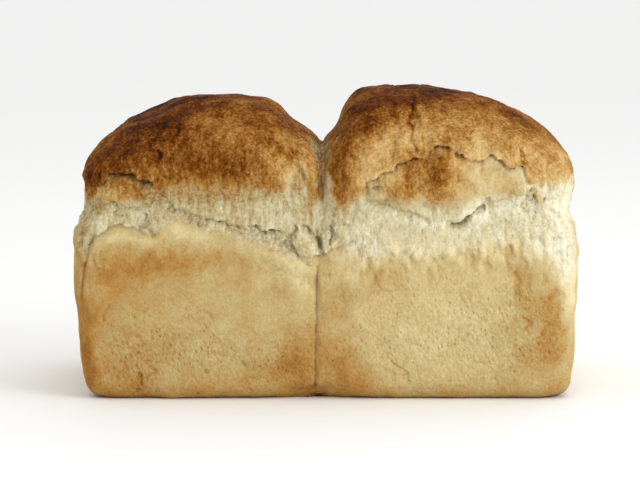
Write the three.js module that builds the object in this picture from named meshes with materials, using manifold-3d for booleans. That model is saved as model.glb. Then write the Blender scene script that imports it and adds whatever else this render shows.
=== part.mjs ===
// A high-topped white tin loaf, proved as two balls of dough that rose into each other.
//
// Millimetres, +Z up. The origin is the middle of the flat base, X runs along the loaf and
// -Y is the front. Each ball of dough is one closed half with a flared tin wall, a softer
// break above the tin's rim and a domed crust. The halves overlap a little, and joining
// them leaves the seam down both long walls and the cleft across the top.

import * as THREE from 'three';
import { mergeVertices } from 'three/addons/utils/BufferGeometryUtils.js';
import Module from 'manifold-3d';

// The tin that shaped the walls, up to the rim where the loaf is widest.
const TIN_LENGTH = 239;
const TIN_WIDTH = 128;
const TIN_FLARE = 3.5; // each long wall leans out by this much from the base to the rim
const RIM_HEIGHT = 66;
const BASE_EDGE_RADIUS = 8.5;

// The break, where the dough stretched as it rose out of the tin, up to the crust's edge.
const CAP_HEIGHT = 104;
const CAP_WIDTH = 124;
const WAIST_INSET = 3.5; // how far the break's waist is drawn in
const WAIST_SHAPE = 1.6; // over 1 sets the waist nearer to the crust than to the rim
const SEAM_DIP = 10; // the rim's drop towards the seam
const SEAM_DIP_SPREAD = 24;

// The squareness of a level section: the power of its superellipse.
const BASE_SQUARENESS = 15;
const RIM_SQUARENESS = 12;
const CAP_SQUARENESS = 6;
const CROWN_SQUARENESS = 2.3;

// The two halves along X: each dome's peak, height and slackness (over 1 for a dome whose
// shoulders sag), and where the outer end and the buried end lie at each height.
const HALVES = [
  {
    peak: -49.5,
    height: 142.5,
    slackness: 1.15,
    outerEnd: { base: -115, rim: -TIN_LENGTH / 2, cap: -116 },
    buriedEnd: { base: 0.5, rim: 0.5, cap: 1.5 },
  },
  {
    peak: 31,
    height: 146.5,
    slackness: 1,
    outerEnd: { base: 117.5, rim: TIN_LENGTH / 2, cap: 119 },
    buriedEnd: { base: -8, rim: -8, cap: -2.5 },
  },
];
const SEAM_X = (HALVES[0].buriedEnd.rim + HALVES[1].buriedEnd.rim) / 2;

// The swelling on the front right, where the dough burst out under the crust.
const BURST = { x: 58, height: 96, spreadX: 34, spreadZ: 13, rise: 2.5 };

// Grid lines on each half.
const LINES_ALONG = 20;
const LINES_ACROSS = 20;
const WALL_ROWS = 20;

// The share of the wall rows spent on the rounded base edge, and on the tin wall above it.
const EDGE_SHARE = 0.2;
const TIN_SHARE = 0.45;

const { PI, abs, cos, exp, max, pow, sin } = Math;
const { lerp, smoothstep } = THREE.MathUtils;

function bell(distance, spread) {
  return exp(-((distance / spread) ** 2));
}

// Moves evenly spaced grid lines, from -1 to 1, closer together near the corners.
function crowdToCorners(line) {
  return (line + sin((line * PI) / 2)) / 2;
}

// The rim is lower next to the seam, where the two balls of dough pulled apart.
function rimHeight(x) {
  return RIM_HEIGHT - SEAM_DIP * bell(x - SEAM_X, SEAM_DIP_SPREAD);
}

// A level section of the wall, from the base at share 0 to the crust's edge at share 1.
// The lean goes from 0 at the base to 1 at the rim, and the climb from 0 there to 1 at the
// crust's edge. The waist draws in the outer walls only.
function wallSection(share, x) {
  if (share < EDGE_SHARE) {
    const turn = ((share / EDGE_SHARE) * PI) / 2;
    return {
      z: BASE_EDGE_RADIUS * (1 - cos(turn)),
      inset: BASE_EDGE_RADIUS * (1 - sin(turn)),
      waist: 0,
      lean: 0,
      climb: 0,
      squareness: BASE_SQUARENESS,
    };
  }
  const rim = rimHeight(x);
  if (share < EDGE_SHARE + TIN_SHARE) {
    const rise = (share - EDGE_SHARE) / TIN_SHARE;
    return {
      z: lerp(BASE_EDGE_RADIUS, rim, rise),
      inset: 0,
      waist: 0,
      lean: sin((rise * PI) / 2),
      climb: 0,
      squareness: lerp(BASE_SQUARENESS, RIM_SQUARENESS, rise),
    };
  }
  const rise = (share - EDGE_SHARE - TIN_SHARE) / (1 - EDGE_SHARE - TIN_SHARE);
  const climb = smoothstep(rise, 0, 1);
  return {
    z: lerp(rim, CAP_HEIGHT, rise),
    inset: 0,
    waist: WAIST_INSET * sin(pow(climb, WAIST_SHAPE) * PI),
    lean: 1,
    climb,
    squareness: lerp(RIM_SQUARENESS, CAP_SQUARENESS, climb),
  };
}

// A dome's section, from the crust's edge at ring 1 to the crown at ring 0.
function domeSection(half, ring) {
  const rise = pow(cos((ring * PI) / 2), half.slackness);
  return {
    z: lerp(CAP_HEIGHT, half.height, rise),
    inset: 0,
    waist: 0,
    lean: 1,
    climb: 1,
    squareness: lerp(CAP_SQUARENESS, CROWN_SQUARENESS, rise),
  };
}

// How far a section reaches from the dome's peak along X, outwards or towards the seam.
function sectionReach(half, section, isOutwards) {
  const end = isOutwards ? half.outerEnd : half.buriedEnd;
  const leaning = lerp(end.base, end.rim, section.lean);
  const x = lerp(leaning, end.cap, section.climb);
  return abs(x - half.peak) - section.inset - (isOutwards ? section.waist : 0);
}

function sectionHalfWidth(section) {
  const leaning = TIN_WIDTH / 2 - TIN_FLARE * (1 - section.lean);
  return lerp(leaning, CAP_WIDTH / 2, section.climb) - section.inset - section.waist;
}

// A point of a section, in the direction of (along, across) on a unit square.
function sectionPoint(half, section, along, across, scale) {
  const isOutwards = along * half.outerEnd.rim > 0;
  const power = section.squareness;
  const norm = pow(pow(abs(along), power) + pow(abs(across), power), 1 / power);
  return new THREE.Vector3(
    half.peak + (along / norm) * sectionReach(half, section, isOutwards) * scale,
    (across / norm) * sectionHalfWidth(section) * scale,
    section.z,
  );
}

// Pushes the front of the break outwards where the dough burst.
function addBurst(point) {
  const near = bell(point.x - BURST.x, BURST.spreadX) * bell(point.z - BURST.height, BURST.spreadZ);
  const facing = smoothstep(-point.y, 0, TIN_WIDTH / 2);
  point.y -= BURST.rise * near * facing;
}

// One half: a cube's grid bent into the base, the wall and the dome.
function makeHalf(half) {
  const geometry = new THREE.BoxGeometry(2, 2, 2, LINES_ALONG, LINES_ACROSS, WALL_ROWS);
  geometry.deleteAttribute('normal');
  geometry.deleteAttribute('uv');
  const positions = geometry.attributes.position;
  const onCube = new THREE.Vector3();
  for (let i = 0; i < positions.count; i += 1) {
    onCube.fromBufferAttribute(positions, i);
    const ring = max(abs(onCube.x), abs(onCube.y));
    const along = ring > 0 ? crowdToCorners(onCube.x / ring) : 1;
    const across = ring > 0 ? crowdToCorners(onCube.y / ring) : 0;
    const isDome = onCube.z === 1;
    const end = along * half.outerEnd.rim > 0 ? half.outerEnd : half.buriedEnd;
    const x = half.peak + along * abs(end.rim - half.peak);
    const section = isDome ? domeSection(half, ring) : wallSection((onCube.z + 1) / 2, x);
    const scale = isDome ? sin((ring * PI) / 2) : ring;
    const point = sectionPoint(half, section, along, across, scale);
    addBurst(point);
    positions.setXYZ(i, point.x, point.y, point.z);
  }
  return mergeVertices(geometry, 1e-4);
}

// The halves are joined into one solid.
const wasm = await Module();
wasm.setup();

function toSolid(geometry) {
  return new wasm.Manifold(
    new wasm.Mesh({
      numProp: 3,
      vertProperties: Float32Array.from(geometry.attributes.position.array),
      triVerts: Uint32Array.from(geometry.index.array),
    }),
  );
}

function toGeometry(solid) {
  const mesh = solid.getMesh();
  const geometry = new THREE.BufferGeometry();
  geometry.setAttribute('position', new THREE.BufferAttribute(mesh.vertProperties, mesh.numProp));
  geometry.setIndex(new THREE.BufferAttribute(mesh.triVerts, 1));
  geometry.computeVertexNormals();
  return geometry;
}

const [leftHalf, rightHalf] = HALVES.map((half) => toSolid(makeHalf(half)));
const crust = new THREE.MeshStandardMaterial({ color: 0xc08a4a, roughness: 0.75, metalness: 0 });
const loaf = new THREE.Mesh(toGeometry(leftHalf.add(rightHalf)), crust);
loaf.name = 'loaf';

const tinLoaf = new THREE.Group();
tinLoaf.name = 'tin_loaf';
tinLoaf.add(loaf);

export default tinLoaf;
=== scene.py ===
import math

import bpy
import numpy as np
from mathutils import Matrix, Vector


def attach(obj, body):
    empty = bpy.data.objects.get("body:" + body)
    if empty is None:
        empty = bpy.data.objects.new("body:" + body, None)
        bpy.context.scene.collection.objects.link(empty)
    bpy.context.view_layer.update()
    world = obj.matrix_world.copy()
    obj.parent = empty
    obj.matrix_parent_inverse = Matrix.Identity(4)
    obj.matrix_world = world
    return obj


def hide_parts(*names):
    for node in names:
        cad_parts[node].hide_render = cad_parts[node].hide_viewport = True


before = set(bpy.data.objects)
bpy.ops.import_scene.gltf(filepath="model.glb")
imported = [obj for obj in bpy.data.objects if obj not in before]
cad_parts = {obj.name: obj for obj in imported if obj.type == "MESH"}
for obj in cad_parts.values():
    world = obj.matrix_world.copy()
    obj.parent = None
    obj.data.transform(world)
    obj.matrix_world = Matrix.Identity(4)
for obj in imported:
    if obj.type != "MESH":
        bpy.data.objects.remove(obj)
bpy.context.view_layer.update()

# The looks of a high-topped white tin loaf, proved as two balls of dough in one tin.
#
# The loaf is one mesh. Its form is a distance field in millimetres: the two halves, then the
# relief of the break and the crust, which is drawn on a level map of each upright side. A
# surface net turns the field into a mesh, and functions of place give each vertex its baking.

MM = 0.001

# The form's driving sizes, in millimetres. They are those of the CAD part.
TIN_WIDTH = 128
TIN_FLARE = 3.5
RIM_HEIGHT = 66
BASE_EDGE_RADIUS = 8.5
CAP_HEIGHT = 104  # where the break ends and the domed crust begins
CAP_WIDTH = 124
WAIST_INSET = 3.5
WAIST_SHAPE = 1.6
SEAM_DIP = 10
SEAM_DIP_SPREAD = 24
BASE_SQUARENESS = 15
RIM_SQUARENESS = 12
CAP_SQUARENESS = 6
CROWN_SQUARENESS = 2.3
HALVES = [
    dict(peak=-49.5, height=142.5, slackness=1.15, outer=(-115, -119.5, -116), buried=(0.5, 0.5, 1.5)),
    dict(peak=31, height=146.5, slackness=1, outer=(117.5, 119.5, 119), buried=(-8, -8, -2.5)),
]
SEAM_X = -3.75
LENGTH_EACH_WAY = 119.5
WIDTH_EACH_WAY = 64

# How the two halves meet. A pair is a height and how softly the change comes about there.
SOFT_JOIN_WALL = 0.6
SOFT_JOIN_CLEFT = 4
FROM_WALL_TO_CLEFT = (84, 36)
CLEFT_SPREAD = 10
CLEFT_BOTTOM = (98, 20)
DOME_BOTTOM = (108, 20)

# The mesh
GRID_STEP = 0.86
BLOCK_CELLS = 5
TRIANGLES = 192000

# The level maps of the sides
MAP_CELL = 0.5
MAP_TOP = 156
MAP_BOTTOM = -6
MAP_MARGIN = 8
LIP_SLOPE = 0.75  # how far a lip's edge drops for each millimetre that it stands out
LIP_REACH = 6

# Browning before the tints, from 0 for cream to 1 for dark brown
WALL_BAKE = 0.28
GREY_BREAK_BAKE = 0.38
FRESH_BREAK_BAKE = 0.23
CRUST_BAKE = 0.59
TOP_BAKE = 0.69
CLEFT_BAKE = 0.45

# The camera, the lights and the floor, in metres, degrees and millimetres of focal length
CAMERA_ELEVATION = 6
CAMERA_DISTANCE = 1.2
CAMERA_LENS = 136.8
CAMERA_TARGET = Vector((-0.0027, 0, 0.0696))
LOAF_MIDDLE = Vector((0, 0, 0.07))
FLOOR_REACH = 60
ROOM_LIGHT = 0.86


# ---------------------------------------------------------------------------------------
# Small maths
# ---------------------------------------------------------------------------------------
def lerp(a, b, t):
    return a + (b - a) * t


def smoothstep(t):
    t = np.clip(t, 0, 1)
    return t * t * (3 - 2 * t)


def rise(value, edge, width):
    """0 below the edge and 1 above it, over a soft step of this width."""
    return smoothstep((value - edge) / width + 0.5)


def bell(distance, spread):
    return np.exp(-((distance / spread) ** 2))


def waves(shape, lengths, seed):
    """Random waves on a grid that wraps round, with their usual length in cells on each axis."""
    grain = np.random.default_rng(seed).standard_normal(shape)
    spectrum = np.fft.rfftn(grain)
    squares = 0
    for axis, (count, length) in enumerate(zip(shape, lengths)):
        is_last = axis == len(shape) - 1
        turns = np.fft.rfftfreq(count) if is_last else np.fft.fftfreq(count)
        line = (turns * length) ** 2
        squares = squares + line.reshape([-1 if i == axis else 1 for i in range(len(shape))])
    made = np.fft.irfftn(spectrum * squares * np.exp(-squares), shape)
    return (made / made.std()).astype(np.float32)


NOISE_CELLS = 96
NOISE_WAVE_CELLS = 8
NOISE_SEED = 11
noise_block = waves((NOISE_CELLS,) * 3, (NOISE_WAVE_CELLS,) * 3, NOISE_SEED)


def noise(points, length, seed):
    """Random waves in space, of about -2 to 2, whose usual wavelength is length millimetres."""
    stretch = np.broadcast_to(np.asarray(length, np.float32), 3)
    shift = np.random.default_rng(seed).uniform(0, NOISE_CELLS, 3)
    low, high, part = [], [], []
    for axis in range(3):
        place = points[axis] * (NOISE_WAVE_CELLS / stretch[axis]) + shift[axis]
        floor = np.floor(place)
        cell = floor.astype(np.int64) % NOISE_CELLS
        low.append(cell)
        high.append((cell + 1) % NOISE_CELLS)
        part.append((place - floor).astype(np.float32))
    total = 0
    for i in (0, 1):
        for j in (0, 1):
            row = (high if i else low)[0] * NOISE_CELLS + (high if j else low)[1]
            weight = (part[0] if i else 1 - part[0]) * (part[1] if j else 1 - part[1])
            near = noise_block.ravel()[row * NOISE_CELLS + low[2]]
            far = noise_block.ravel()[row * NOISE_CELLS + high[2]]
            total = total + weight * lerp(near, far, part[2])
    return total


def smooth_path(points, step=0.5):
    """A smooth curve through the points, as points about a step apart."""
    p = np.array(points, float)
    p = np.vstack([2 * p[0] - p[1], p, 2 * p[-1] - p[-2]])
    pieces = []
    for a, b, c, d in zip(p, p[1:], p[2:], p[3:]):
        t = np.linspace(0, 1, max(2, int(np.hypot(*(c - b)) / step)), endpoint=False)[:, None]
        bend = (2 * a - 5 * b + 4 * c - d) * t**2 + (3 * b - a - 3 * c + d) * t**3
        pieces.append((2 * b + (c - a) * t + bend) / 2)
    return np.vstack([*pieces, p[-2:-1]])


def level_line(points, u):
    """The height, at each u, of the smooth line through points that run from left to right."""
    path = smooth_path(points)
    return np.interp(u, path[:, 0], path[:, 1])


# ---------------------------------------------------------------------------------------
# The level map of one upright side
# ---------------------------------------------------------------------------------------
class Side:
    """What is drawn on one upright side: u runs along it, and v is the height.

    The maps that the rest of the script reads:
      relief: millimetres outwards; bake: how brown, from 0 for cream to 1 for dark brown, with painted
          shade in wrinkles and pleats
      torn: 1 where the crumb shows, 0 on baked skin; crumb: 1 where the crumb is coarse
      crust: 1 on the domed crust; hollow: painted shade, 1 deep in a crack; pitted: 1 where the wall is
          pitted
    """

    def __init__(self, half_length, seed, plan):
        reach = half_length + MAP_MARGIN
        self.low = (-reach, MAP_BOTTOM)
        along = np.arange(-reach, reach + MAP_CELL, MAP_CELL)
        up = np.arange(MAP_BOTTOM, MAP_TOP + MAP_CELL, MAP_CELL)
        self.plain_u, self.plain_v = np.meshgrid(along, up, indexing="ij")
        self.seed = seed
        self.u = self.plain_u + 0.8 * self.grain(11, 11) + 0.25 * self.grain(3.5, 3.5)
        self.v = self.plain_v + 0.7 * self.grain(11, 11) + 0.25 * self.grain(3.5, 3.5)
        self.plan = plan
        self.wall_top, self.lip, self.crust_edge, self.fade, self.overhang, self.fresh, self.tear = (
            level_line(plan[name], self.u)
            for name in ("wall_top", "lip", "crust_edge", "fade", "overhang", "fresh", "tear")
        )
        self.relief = np.zeros_like(self.u)
        self.recess_shade = np.zeros_like(self.u)
        self.painted_fold_shade = np.zeros_like(self.u)  # the painted shade that wrinkles add along their grooves

    def grain(self, length_u, length_v):
        """Random waves on the map, of these lengths in millimetres."""
        self.seed += 1
        return waves(self.plain_u.shape, (length_u / MAP_CELL, length_v / MAP_CELL), self.seed)

    def oval(self, at, size, turn=0):
        """A soft oval, 1 in its middle: size is its half length and half height."""
        c, s = math.cos(math.radians(turn)), math.sin(math.radians(turn))
        u, v = self.u - at[0], self.v - at[1]
        return np.exp(-(((u * c + v * s) / size[0]) ** 2) - ((v * c - u * s) / size[1]) ** 2)

    def ovals(self, wanted):
        """The sum of soft ovals: (u, v, half length, half height, amount) and perhaps a turn."""
        total = 0
        for u, v, half_length, half_height, amount, *turn in wanted:
            total = total + amount * self.oval((u, v), (half_length, half_height), *turn)
        return total

    def near(self, points, reach, is_plain=False):
        """How far each place is from a path, up to reach, and how far along it from 0 to 1."""
        u, v = (self.plain_u, self.plain_v) if is_plain else (self.u, self.v)
        path = smooth_path(points)
        distance = np.full(u.shape, float(reach))
        share = np.zeros(u.shape)
        (left, low), (right, high) = path.min(0) - reach, path.max(0) + reach
        box = (u > left) & (u < right) & (v > low) & (v < high)
        far = np.hypot(u[box][:, None] - path[:, 0], v[box][:, None] - path[:, 1])
        nearest = far.argmin(1)
        distance[box] = np.minimum(far[np.arange(len(nearest)), nearest], reach)
        share[box] = nearest / (len(path) - 1)
        return distance, share

    def crack(self, points, width, depth, recess_shade=1, taper=0.15, is_plain=False):
        """A groove along a path, which thins out over a share of its length at both ends, with painted
        shade deep in it.
        """
        distance, share = self.near(points, width * 3, is_plain)
        ends = smoothstep(share / taper) * smoothstep((1 - share) / taper)
        shape = bell(distance, width) * ends
        self.relief -= depth * shape
        self.recess_shade = np.maximum(self.recess_shade, recess_shade * bell(distance, width * 0.8) * ends)
        return shape

    def wrinkle(self, points, width, depth, fold_shade=0):
        """A shallow groove, or a ridge if the depth is below 0, with shade painted along it as a darker
        brown.
        """
        self.painted_fold_shade += fold_shade * self.crack(points, width, depth, recess_shade=0)

    def tongue(self, points, widths, height):
        """A flap that stands out along a path, as wide each way as widths say from its start, with
        painted shade round its edge.
        """
        distance, share = self.near(points, max(widths) * 1.6)
        across = distance / np.interp(share, np.linspace(0, 1, len(widths)), widths)
        shape = np.sqrt(np.clip(1 - across**2, 0, 1)) * self.over_wall
        edge = bell(across - 1.12, 0.16) * self.over_wall
        self.relief += height * shape - 0.8 * edge
        self.recess_shade = np.maximum(self.recess_shade, 0.35 * edge)
        return shape

    def hole(self, at, radius, depth, recess_shade=0.75):
        """A small round hole, with painted shade in it."""
        shape = self.oval(at, (radius, radius))
        self.relief -= depth * shape
        self.recess_shade = np.maximum(self.recess_shade, recess_shade * shape)

    def scatter_holes(self, points, count):
        """Small uneven holes along a path, with painted shade in them."""
        path = smooth_path(points)
        self.seed += 1
        chance = np.random.default_rng(self.seed)
        for place in path[chance.integers(len(path), size=count)]:
            at = place + chance.normal(0, 1.3, 2)
            self.hole(at, chance.uniform(0.4, 0.8), chance.uniform(0.5, 1.1), recess_shade=0.4)

    def draw_edges(self):
        """The wall and its lip, the break, and the crust over it."""
        streaked_v = self.v + 0.9 * self.grain(3, 14)
        softness = smoothstep((self.fade - 2) / 6)
        crust_v = lerp(self.v, streaked_v, softness)
        self.wall_v = lerp(self.v, self.plain_v, smoothstep(self.lip))
        over_top = self.wall_v - self.wall_top
        self.over_wall = rise(self.wall_v, self.wall_top + 4 * self.fresh, lerp(14, 1.6, self.lip))
        self.over_crust = 0
        for shift in (-2.4, -1.2, 0, 1.2, 2.4):
            edge = level_line(self.plan["crust_edge"], self.u + shift * softness)
            self.over_crust += rise(crust_v, edge, self.fade) / 5
        behind_lip = rise(self.wall_v, self.wall_top + 0.5, 1.6) * (1 - smoothstep(over_top / 12))
        self.relief += lerp(0.5, 1.7, self.lip) * bell(over_top + 2.5, 4.5) - 1.4 * self.lip * behind_lip
        self.over_edge = self.v - self.crust_edge
        self.relief += self.overhang * self.over_crust * bell(self.over_edge, 10)
        self.relief += 0.4 * self.over_crust * bell(self.over_edge - 6, 20) * self.grain(7, 30)

    def draw_lobes(self):
        """Lobes that burst out from under the crust."""
        self.lobes = np.zeros_like(self.u)
        self.lobe_tints = np.zeros_like(self.u)
        for lobe in self.plan["lobes"]:
            bottom = level_line(lobe["bottom"], self.u)
            share = np.clip((self.v - bottom) / np.maximum(self.crust_edge - bottom, 1), 0, 1)
            shape = rise(self.v, bottom, 2.5) * rise(self.u, lobe["left"], 5)
            shape *= rise(-self.u, -lobe["right"], 2.5)
            shape *= 1 - self.over_crust
            self.relief += shape * (1 + lobe["height"] * np.sin(share * math.pi))
            self.lobes += shape
            self.lobe_tints += shape * self.ovals(lobe["tints"])

    def draw_tongues(self):
        """Flaps that hang over the wall and the break."""
        self.tongues = np.zeros_like(self.u)
        self.tongue_tints = np.zeros_like(self.u)
        for points, widths, height, tint in self.plan["tongues"]:
            shape = self.tongue(points, widths, height)
            self.tongues += shape
            self.tongue_tints += tint * shape

    def draw_marks(self):
        """Cracks, wrinkles, swells and holes."""
        for groove in self.plan["cracks"]:
            self.crack(*groove)
        for groove in self.plan["wrinkles"]:
            self.wrinkle(*groove)
        self.relief += self.ovals(self.plan["swells"])
        for *at, radius, depth in self.plan["holes"]:
            self.hole(at, radius, depth)
        for points, count in self.plan["crumbs"]:
            self.scatter_holes(points, count)

    def draw_texture(self):
        """The break's fibres, folds and coarse crumb, and the pleats at the top of a soft wall."""
        self.torn = self.over_wall * (1 - self.over_crust)
        over_tear = self.v - self.tear
        crumb = bell(over_tear + 1.8, 3.2) + self.ovals(self.plan["crumb_patches"])
        self.crumb = np.clip(crumb, 0, 1) * self.torn
        self.relief += 0.9 * self.torn * bell(over_tear - 4, 6)
        self.strands = 0.07 * self.grain(3.6, 12) + 0.09 * self.grain(2.2, 6)
        self.strands *= 1 + self.ovals(self.plan["fibres"])
        folds = 0.5 * self.grain(12, 26) + 0.2 * self.grain(5, 14)
        smooth = (1 - 0.6 * np.clip(self.lobes, 0, 1)) * (1 - self.crumb)
        smooth *= 1 - 0.8 * np.clip(self.tongues, 0, 1)
        self.relief += self.torn * smooth * (self.strands + self.fresh * folds)
        self.relief += self.crumb * (0.25 * self.grain(4.2, 3.4) + 0.2 * self.grain(2.2, 2))
        soft_wall = self.fresh * (1 - self.lip) * bell(self.wall_v - self.wall_top + 9, 10)
        self.pleats = soft_wall * bell(self.grain(8, 15), 0.22)
        self.relief += 0.35 * soft_wall * self.grain(7, 12) - 0.85 * self.pleats

    def bake_all(self):
        """How brown each place is, with painted shade in wrinkles and pleats, and which skin shows where.
        """
        plan = self.plan
        wall = WALL_BAKE - 0.03 * self.fresh + self.ovals(plan["wall_tints"])
        torn = lerp(GREY_BREAK_BAKE, FRESH_BREAK_BAKE, self.fresh) + self.ovals(plan["torn_tints"])
        torn += self.lobe_tints + self.tongue_tints
        crust = CRUST_BAKE + self.ovals(plan["crust_tints"]) - 0.1 * bell(self.over_edge, 4)
        # Browner streaks near the wall's top, and painted shade in the folds of the pleats
        wall += 0.03 * bell(self.wall_v - self.wall_top + 12, 10) * self.grain(3, 14) + 0.07 * self.pleats
        wall += 0.04 * bell(self.v, 3)
        # The painted shade along the wrinkles' grooves is added last.
        self.bake = lerp(lerp(wall, torn, self.over_wall), crust, self.over_crust) + self.painted_fold_shade
        grain = self.grain(2.6, 9)
        strands = 0.15 * self.strands * self.torn
        self.bake += 0.02 * (self.lobes + self.over_crust) * grain - strands
        skin = np.clip(self.ovals(plan["skin"]), 0, 1) * self.torn
        self.torn = np.clip(self.torn + self.ovals(plan["cream"]) * (1 - self.over_crust), 0, 1)
        self.torn *= 1 - 0.9 * skin
        self.crust = np.maximum(self.over_crust, skin * smoothstep((self.bake - 0.2) / 0.2))
        self.pitted = np.clip(self.ovals(plan["pits"]), 0, 1) * (1 - self.over_wall)

    def sample(self, name, u, v):
        """A map's value at places on the side."""
        values = getattr(self, name).astype(np.float32)
        column = np.clip((u - self.low[0]) / MAP_CELL, 0, values.shape[0] - 1.001)
        row = np.clip((v - self.low[1]) / MAP_CELL, 0, values.shape[1] - 1.001)
        i, j = column.astype(np.int64), row.astype(np.int64)
        s, t = (column - i).astype(np.float32), (row - j).astype(np.float32)
        flat, width = values.ravel(), values.shape[1]
        at = i * width + j
        near = lerp(flat[at], flat[at + width], s)
        far = lerp(flat[at + 1], flat[at + width + 1], s)
        return lerp(near, far, t)


# ---------------------------------------------------------------------------------------
# What is drawn on each side. The front and the back run along X and the ends along Y.
#
# Lines across a side, as (u, v) or (u, value) from left to right:
#   wall_top, crust_edge, tear: the heights of the wall's top, the crust's edge and a tear
#   lip: how crisp the wall's top is, from 0 to 1
#   fade: over how many millimetres the crust fades out
#   overhang: how far the crust stands out over the break
#   fresh: 0 where the break is grey and fibrous, 1 where it is pale and smooth
# Lobes bulge out of the break, between left and right, from their bottom to the crust's edge.
# What follows a path of (u, v):
#   cracks: path, width, depth, how dark the painted shade in it is, and perhaps the share of the path
#       over which each
#     end thins out, and whether the path keeps clear of the map's small waves
#   wrinkles: path, width, depth, painted shade along the groove; one with a depth below 0 is a ridge
#   tongues: path, half widths along it, height, how much browner
#   crumbs: path, number of small holes
# Holes are (u, v, radius, depth).
# Soft ovals are (u, v, half length, half height, amount), and perhaps a turn in degrees:
#   swells: millimetres outwards
#   skin: where the break has a baked skin
#   crumb_patches: where the break's crumb is coarse
#   fibres: how much deeper the break's fibres are
#   pits: where the wall's skin is pitted
#   cream: where the wall is torn as the break is
#   crust_tints, torn_tints, wall_tints, and a lobe's tints: how much browner
# ---------------------------------------------------------------------------------------
SEAM_CRACK = ([(-3.8, 66), (-4.3, 50), (-4.8, 28), (-5, 0), (-5, -4)], 0.6, 1.1, 0.6, 0.02, True)
BURST_EDGE = [
    (22, 102), (26, 105.5), (31, 109), (38, 112), (46, 115), (51, 119), (54, 119.5), (57, 118),
    (62, 117), (65, 114.5), (68, 113), (73, 113), (78, 115.5), (82, 113), (91, 109),
]
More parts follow.
